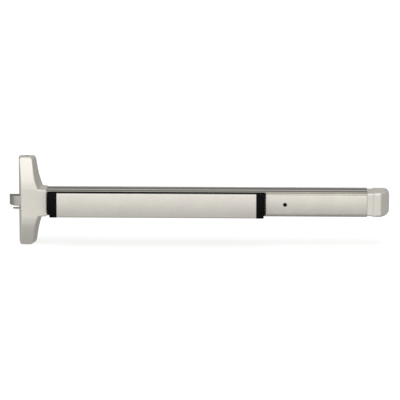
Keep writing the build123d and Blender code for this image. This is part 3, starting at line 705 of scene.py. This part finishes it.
# ---- End cap ----
def end_cap():
    size = extent("end_cap")
    start, end = size["x"]
    half, front = size["z"][1], size["d"][1]
    step_x = start + CAP_COLLAR
    fold = Vector((end - CAP_BEND, front))
    bend = corner_arc(fold, Vector((-1.0, 0.0)), Vector((1.0, -CAP_FALL)), CAP_BEND_RADIUS, 10)

    def depth_at(x, z):
        if x <= bend[0].x:
            return front
        for a, b in zip(bend, bend[1:]):
            if x <= b.x:
                return a.y + (b.y - a.y) * (x - a.x) / (b.x - a.x)
        return bend[-1].y - CAP_FALL * (x - bend[-1].x)

    # rows of points across the face: along its flat part, round the bend and before the corner
    xs = [step_x, step_x + 6.0, end - 25.0] + [p.x for p in bend] + [end - 14.5]
    upper = [(x, half, CAP_ROUNDING) for x in xs]
    steps = 12
    for k in range(steps + 1):
        angle = math.pi / 2 * k / steps
        x = end - CAP_CORNER * (1 - math.sin(angle))
        upper.append((x, half - CAP_CORNER * (1 - math.cos(angle)), CAP_ROUNDING - k / steps))
    loop = [(x, -z, radius) for x, z, radius in upper] + list(reversed(upper))
    rim = [Vector((x, z)) for x, z, radius in loop]
    radii = [radius for x, z, radius in loop]
    pairs = [(k, len(loop) - 1 - k) for k in range(len(upper))]
    shell = moulded("end_cap_shell", rim, rim, depth_at, radii, pairs, CAP_WALL)

    low, high = half - CAP_COLLAR_STEP, front - 2.0
    collar = rounded([(-1.0, -low, 0), (high, -low, CAP_COLLAR_CORNER),
                      (high, low, CAP_COLLAR_CORNER), (-1.0, low, 0)])
    join(shell, run_along("collar", collar, start, step_x + 1.2, ease=0.4))

    rail_half, rail_front = 24.4, 51.6
    rail_space = rounded([(-1.0, -rail_half, 0), (rail_front, -rail_half, 1.6),
                          (rail_front, rail_half, 1.6), (-1.0, rail_half, 0)])
    inside = run_along("inside", rail_space, start - 1.0, step_x + 3.0, ease=0.1)
    screw = extent("end_cap_screw")
    x, d = sum(screw["x"]) / 2, sum(screw["d"]) / 2
    cut(shell, inside, turned("seat", point(x, d, -half), (0, 0, 1), SCREW_SEAT))
    beside = half + 5.0
    door = rounded([(-5.0, -beside, 0), (CAP_FOOT, -beside, 0), (CAP_FOOT, beside, 0), (-5.0, beside, 0)])
    cut(shell, run_along("door", door, start - 5.0, end + 5.0, ease=0.1))
    placed(shell, "fixed_frame", "satin_cast_metal", "end_cap")


end_cap()


# ---- Rail and its cover ----
def crowned(half, back, front, corner, crown, steps=8):
    """Closed (d, z) outline of a cover strip whose front swells slightly towards its middle."""
    side = corner_arc(Vector((front - crown, half)), Vector((-1.0, 0.0)), Vector((0.0, -1.0)), corner, 6)
    outline = [Vector((back, half))] + side
    flat = half - corner
    for k in range(1, steps):
        z = flat - 2 * flat * k / steps
        outline.append(Vector((front - crown * (z / flat) ** 2, z)))
    outline += [Vector((p.x, -p.y)) for p in reversed(side)]
    outline.append(Vector((back, -half)))
    return outline


def fixing_places(name):
    """Centre and radius of each shank of a set of fasteners, read from the CAD node at its foot."""
    near_foot, near_axis = 0.2 * MM, 8.0 * MM
    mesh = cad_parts[name].data
    foot = min(-v.co.y for v in mesh.vertices)
    groups = []
    for place in [Vector((v.co.x, v.co.z)) for v in mesh.vertices if -v.co.y < foot + near_foot]:
        for group in groups:
            if (place - group[0]).length < near_axis:
                group.append(place)
                break
        else:
            groups.append([place])
    places = []
    for group in groups:
        low_x, high_x = min(p.x for p in group), max(p.x for p in group)
        low_z, high_z = min(p.y for p in group), max(p.y for p in group)
        places.append(((low_x + high_x) / 2 / MM, (low_z + high_z) / 2 / MM, (high_x - low_x) / 2 / MM))
    return places


def base_channel():
    """Rail: grooves along its sides, lips at its front, and holes in its web."""
    size = extent("base_channel")
    half, front = size["z"][1], size["d"][1]
    lip_back = front - RAIL_WALL
    side = [(0.0, half, 0.5)]
    for start, end, depth, slant, mouth, bed in RAIL_GROOVES:
        side += [(start, half, mouth), (start + slant, half - depth, bed),
                 (end - slant, half - depth, bed), (end, half, mouth)]
    top_lip = [(front, half, 1.0), (front, half - TOP_LIP_LAND, 0.3),
               (front - TOP_LIP_FALL, LIP_HALF_GAP, 0.2)]
    bottom_lip = [(front, -LIP_HALF_GAP, 0.5), (front - BOTTOM_LIP_FALL, -half, 0.3)]
    inner = [(lip_back, LIP_HALF_GAP, 0.4), (lip_back, half - RAIL_WALL, 0.6),
             (RAIL_WALL, half - RAIL_WALL, 0.8)]
    section = rounded(side + top_lip + inner + mirrored(inner) + bottom_lip + mirrored(side), steps=4)
    channel = run_along("rail_extrusion", section, *size["x"])
    tools = []
    for name in ("bracket_rivets", "chassis_screws", "end_bracket_screws", "bar_guides"):
        for x, z, radius in fixing_places(name):
            profile = [(0.0, radius), (5.0, radius)]
            tools.append(turned("drill", point(x, -1.0, z), (0, -1, 0), profile, sides=24))
    cut(channel, *tools)
    placed(channel, "fixed_frame", "rail_aluminium", "base_channel")


def rail_cover():
    """Strip between the rail's lips, with two hooked legs and the key hole."""
    size = extent("rail_cover")
    hook, (leg_back, front) = size["z"][1], size["d"]
    back = extent("base_channel")["d"][1] + 0.2
    half = hook - HOOK_LENGTH
    inner = half - COVER_WALL
    outer = crowned(half, back - 1.0, front, 2.2, crown=1.2)
    leg = [(HOOK_FRONT, -half), (HOOK_FRONT, -hook), (HOOK_BACK, -hook), (HOOK_BACK, -half),
           (leg_back, -half), (leg_back, -inner), (back, -inner)]
    under = [Vector(p) for p in leg] + [Vector((d, -z)) for d, z in reversed(leg)]
    cover = run_along("rail_cover_strip", outer + under, *size["x"], ease=0.25)
    hole_x = sum(extent("dogging_screw")["x"]) / 2
    cut(cover, turned("key_hole", point(hole_x, front, 0.0), (0, 1, 0), KEY_HOLE))
    placed(cover, "fixed_frame", "satin_aluminium", "rail_cover")


# ---- Push pad ----
def push_pad():
    size = extent("push_pad_skin")
    half, (back, front) = size["z"][1], size["d"]
    outer = crowned(half, back, front, 3.2, crown=1.5)
    inner = crowned(half - SKIN_WALL, back, front - SKIN_WALL, 1.6, crown=1.4)
    skin = run_along("push_pad_skin_shell", outer + list(reversed(inner)), *size["x"], ease=0.25)
    placed(skin, "push_pad", "satin_aluminium", "push_pad_skin", crease=50.0)


def pad_screw_places():
    """(x, z) of the screws that hold the carrier on its two brackets."""
    dx, dz = PAD_SCREW_OFFSET
    places = []
    for side in ("left", "right"):
        middle = sum(extent("pad_bracket_" + side)["x"]) / 2
        places += [(middle + x, z) for x in (-dx, dx) for z in (-dz, dz)]
    return places


def carrier_web(x0, x1):
    """The carrier's flat web, as wide as the pad, between two places along the rail."""
    size = extent("pad_carrier")
    half, front = size["z"][1], size["d"][1]
    corners = [(front, half, CARRIER_CORNER), (front - CARRIER_WEB, half, 0.5)]
    return run_along("web", rounded(corners + mirrored(corners), steps=4), x0, x1)


def pad_carrier():
    """Channel under the pad, its two feet held behind the rail's lips."""
    size = extent("pad_carrier")
    back, front = size["d"]
    inner = CARRIER_HALF - CARRIER_WALL
    half_section = [
        (front, CARRIER_HALF, 0.5), (HOOK_FRONT, CARRIER_HALF, 0.5), (HOOK_FRONT, CARRIER_FOOT_HALF, 0.4),
        (back, CARRIER_FOOT_HALF, 0.4), (back, inner, 0.5), (front - CARRIER_WEB, inner, 1.0),
    ]
    section = rounded(half_section + mirrored(half_section), steps=3)
    channel = run_along("pad_carrier_channel", section, *size["x"])
    pad_left, pad_right = extent("pad_end_cap_left")["x"][0], extent("pad_end_cap_right")["x"][1]
    join(channel, carrier_web(pad_left + WEB_MARGIN, pad_right - WEB_MARGIN))
    profile = [(0.0, PAD_SCREW_RADIUS), (3.0, PAD_SCREW_RADIUS)]
    tools = []
    for x, z in pad_screw_places():
        tools.append(turned("drill", point(x, 70.0, z), (0, -1, 0), profile, sides=24))
    cut(channel, *tools)
    placed(channel, "push_pad", "black_plastic", "pad_carrier")


def pad_end_cap(node, outer_end, inner_end):
    """Black end of the push pad: rounded outer end, shallow lip under the skin's edge."""
    size = extent(node)
    half, (back, front) = size["z"][1], size["d"]
    way = 1.0 if inner_end > outer_end else -1.0
    rows = []
    steps = 6
    for k in range(steps + 1):
        angle = math.pi / 2 * k / steps
        x = outer_end + way * PAD_CAP_ROUNDING * (1 - math.cos(angle))
        rows.append((x, PAD_CAP_ROUNDING * (1 - math.sin(angle))))
    rows += [(inner_end - way * 1.2, 0.0), (inner_end - way * 1.0, 0.25), (inner_end, 0.25)]
    stations = []
    for x, draw in rows:
        corner = max(PAD_CAP_CORNER - draw, 1.2)
        outline = crowned(half - draw, back, front - draw, corner, crown=1.2)
        stations.append([point(x, p.x, p.y) for p in outline])
    cap = lofted(node + "_moulding", stations)

    carrier = extent("pad_carrier")
    carrier_front, web_half = carrier["d"][1], carrier["z"][1]
    hollows = (("inside", CARRIER_HALF, 0.3, outer_end - way),
               ("web", web_half, CARRIER_CORNER, outer_end + way * WEB_MARGIN))
    for name, hollow_half, corner, start in hollows:
        section = rounded([(PAD_CAP_DEPTH, -hollow_half, 0), (carrier_front, -hollow_half, corner),
                           (carrier_front, hollow_half, corner), (PAD_CAP_DEPTH, hollow_half, 0)])
        cut(cap, run_along(name, section, *sorted((start, inner_end + way))))
    placed(cap, "push_pad", "black_plastic", node)


base_channel()
push_pad()
rail_cover()
pad_carrier()
left_cap = extent("pad_end_cap_left")["x"]
right_cap = extent("pad_end_cap_right")["x"]
pad_end_cap("pad_end_cap_left", left_cap[0], left_cap[1])
pad_end_cap("pad_end_cap_right", right_cap[1], right_cap[0])


# ---- Bolts ----
def bolt_plan(size, nose, back_x, steps=16):
    """(x, d) plan of a bolt; nose is where its curve starts in x and ends in depth."""
    curve_start, tip_front = nose
    tip = size["x"][0]
    back, front = size["d"]
    start, end = Vector((curve_start, front)), Vector((tip, tip_front))
    turn = Vector((tip + (curve_start - tip) * NOSE_PULL, front - NOSE_FLAT_FALL))
    plan = [Vector((back_x, back)), Vector((back_x, front))]
    for k in range(steps + 1):
        t = k / steps
        plan.append(start * (1 - t) ** 2 + turn * 2 * t * (1 - t) + end * t * t)
    return plan + corner_arc(Vector((tip, back)), Vector((0.0, 1.0)), Vector((1.0, 0.0)), 1.0, 4)


def latchbolt():
    size = extent("latchbolt")
    plan = bolt_plan(size, LATCHBOLT_NOSE, LATCHBOLT_BACK)
    bolt = run_up("latchbolt_nose", plan, *size["z"], ease=0.7)
    pin = extent("latchbolt_pin")
    pin_x, pin_z = sum(pin["x"]) / 2, sum(pin["z"]) / 2
    foot, end = size["d"][0], size["x"][1]
    start, top = LATCHBOLT_BACK - 2.0, foot + LATCHBOLT_TAIL_DEPTH
    tail = rounded([(start, foot, 0), (end, foot, 0.5), (end, top, 0.5), (start, top, 0)], steps=3)
    join(bolt, run_up("tail", tail, pin_z - LATCHBOLT_TAIL_HALF, pin_z + LATCHBOLT_TAIL_HALF, ease=0.4))
    coil = extent("latchbolt_spring")
    bore_place = point(LATCHBOLT_BORE_START, sum(coil["d"]) / 2, sum(coil["z"]) / 2)
    bore_profile = [(0.0, LATCHBOLT_BORE_RADIUS), (40.0, LATCHBOLT_BORE_RADIUS)]
    bore = turned("bore", bore_place, (1, 0, 0), bore_profile)
    pin_profile = [(0.0, LATCHBOLT_PIN_RADIUS), (10.0, LATCHBOLT_PIN_RADIUS)]
    hole = turned("hole", point(pin_x, 10.0, pin_z), (0, -1, 0), pin_profile, sides=32)
    cut(bolt, bore, hole)
    placed(bolt, "bolt", "bolt_steel", "latchbolt")


def deadlatch():
    size = extent("deadlatch")
    plan = bolt_plan(size, DEADLATCH_NOSE, size["x"][1])
    bolt = run_up("deadlatch_nose", plan, *size["z"], ease=0.5)
    placed(bolt, "deadlatch_bolt", "bolt_steel", "deadlatch")


latchbolt()
deadlatch()


# ---- Springs ----
COIL_STEPS = 28
WIRE_SIDES = 10
# Turns at each end that lie closer together, and their pitch against the even one
CLOSED_TURNS = 0.8
CLOSED_PITCH = 0.35


def coil_height(t, closed):
    """Share of a coil's length reached at a share t of its turns."""
    if t < closed:
        return CLOSED_PITCH * t
    if t > 1 - closed:
        return 1 - CLOSED_PITCH * (1 - t)
    return CLOSED_PITCH * closed + (t - closed) / (1 - 2 * closed) * (1 - 2 * CLOSED_PITCH * closed)


def spring(node, wire, turns, start=None):
    """Coil spring with closed ends, riding on the fixed frame between its seats."""
    size = extent(node)
    d, z = sum(size["d"]) / 2, sum(size["z"]) / 2
    radius = (size["z"][1] - size["z"][0] - wire) / 2
    x0, x1 = size["x"]
    if start is not None:
        x0 = start
    length = x1 - x0 - wire
    steps = turns * COIL_STEPS
    rows = []
    for k in range(steps + 1):
        t = k / steps
        angle = 2 * math.pi * turns * t
        out = Vector((0.0, -math.cos(angle), math.sin(angle)))
        x = x0 + wire / 2 + length * coil_height(t, CLOSED_TURNS / turns)
        centre = point(x, d, z) + out * radius * MM
        ring = []
        for side in range(WIRE_SIDES):
            lean = 2 * math.pi * side / WIRE_SIDES
            offset = out * math.cos(lean) + Vector((1.0, 0.0, 0.0)) * math.sin(lean)
            ring.append(centre + offset * wire / 2 * MM)
        rows.append(ring)
    piece = lofted(node + "_coil", rows)
    placed(piece, "fixed_frame", "spring_steel", node)
    tuple(point(x1, d, z))
    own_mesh(piece)


spring("main_return_spring", 1.4, 9)
spring("latchbolt_spring", 1.0, 10, LATCHBOLT_BORE_START + 0.2)
spring("deadlatch_spring", 0.6, 9)


# ---- Surround, floor, light and camera, in metres ----
# Radiance of the surround in front of, behind and below the object
SURROUND_FRONT = 1.06
SURROUND_BACK = 0.24
SURROUND_BELOW = 0.38
FLOOR_HALF = 60.0
FLOOR_GAP = 0.0005
FLOOR_GLOW = 0.80
WASH_ENERGY = 2.2
WASH_SPREAD = math.radians(50.0)
WASH_TURN = (math.radians(24.0), math.radians(-8.0), 0.0)
CAMERA_AZIMUTH = math.radians(1.3)
CAMERA_ELEVATION = math.radians(13.0)
CAMERA_DISTANCE = 9.0
CAMERA_TARGET = Vector((0.397, 0.0, -0.0024))
FRAME_WIDTH = 0.92


def surround():
    """World that is bright in front of the object and darker behind and below it."""
    world = bpy.data.worlds.new("studio")
    bpy.context.scene.world = world
    world.use_nodes = True
    tree = world.node_tree
    split = tree.nodes.new("ShaderNodeSeparateXYZ")
    tree.links.new(tree.nodes.new("ShaderNodeTexCoord").outputs["Generated"], split.inputs[0])

    def ramp(axis, low, high, new_low, new_high):
        made = tree.nodes.new("ShaderNodeMapRange")
        made.interpolation_type = "SMOOTHSTEP"
        tree.links.new(split.outputs[axis], made.inputs["Value"])
        stops = {"From Min": low, "From Max": high, "To Min": new_low, "To Max": new_high}
        for key, value in stops.items():
            made.inputs[key].default_value = value
        return made.outputs["Result"]

    mix = tree.nodes.new("ShaderNodeMix")
    tree.links.new(ramp("Z", 0.30, -0.75, 0.0, 1.0), mix.inputs["Factor"])
    tree.links.new(ramp("Y", 0.4, -0.7, SURROUND_BACK, SURROUND_FRONT), mix.inputs["A"])
    mix.inputs["B"].default_value = SURROUND_BELOW
    background = tree.nodes["Background"]
    tree.links.new(mix.outputs["Result"], background.inputs["Strength"])
    background.inputs["Color"].default_value = (1.0, 0.995, 0.985, 1.0)


def light():
    """Wide soft light from above and in front, which leaves no highlight of its own."""
    wash = bpy.data.lights.new("wash", "SUN")
    wash.energy = WASH_ENERGY
    wash.angle = WASH_SPREAD
    holder = bpy.data.objects.new("wash", wash)
    holder.rotation_euler = WASH_TURN
    holder.visible_glossy = False
    bpy.context.scene.collection.objects.link(holder)


def floor():
    """Pale floor just under the object, glowing a little so that shadows on it stay faint."""
    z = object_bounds()[0].z - FLOOR_GAP
    corners = [Vector((x * FLOOR_HALF, y * FLOOR_HALF, z)) for x, y in ((-1, -1), (1, -1), (1, 1), (-1, 1))]
    ground = add_piece("studio_floor", corners, [(0, 1, 2, 3)])
    g = Graph("floor")
    g.to_shader("Base Color", g.blend(g.noise((6.0, 6.0, 6.0)), (0.24, 0.24, 0.24), (0.26, 0.26, 0.26)))
    g.to_shader("Roughness", 0.9)
    g.to_shader("Emission Color", (1.0, 1.0, 0.995, 1.0))
    g.to_shader("Emission Strength", FLOOR_GLOW)
    ground.data.materials.append(g.material)
    ground.visible_glossy = False
    ground.visible_diffuse = False
    ground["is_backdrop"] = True


def camera():
    lens = bpy.data.cameras.new("camera")
    lens.sensor_width = 36.0
    lens.lens = lens.sensor_width * CAMERA_DISTANCE / FRAME_WIDTH
    lens.clip_end = 100.0
    holder = bpy.data.objects.new("camera", lens)
    away = Vector((
        math.sin(CAMERA_AZIMUTH) * math.cos(CAMERA_ELEVATION),
        -math.cos(CAMERA_AZIMUTH) * math.cos(CAMERA_ELEVATION),
        math.sin(CAMERA_ELEVATION),
    ))
    holder.location = CAMERA_TARGET + away * CAMERA_DISTANCE
    holder.rotation_euler = (-away).to_track_quat("-Z", "Y").to_euler()
    bpy.context.scene.collection.objects.link(holder)
    bpy.context.scene.camera = holder


bpy.context.scene.view_settings.view_transform = "Standard"
surround()
light()
floor()
camera()
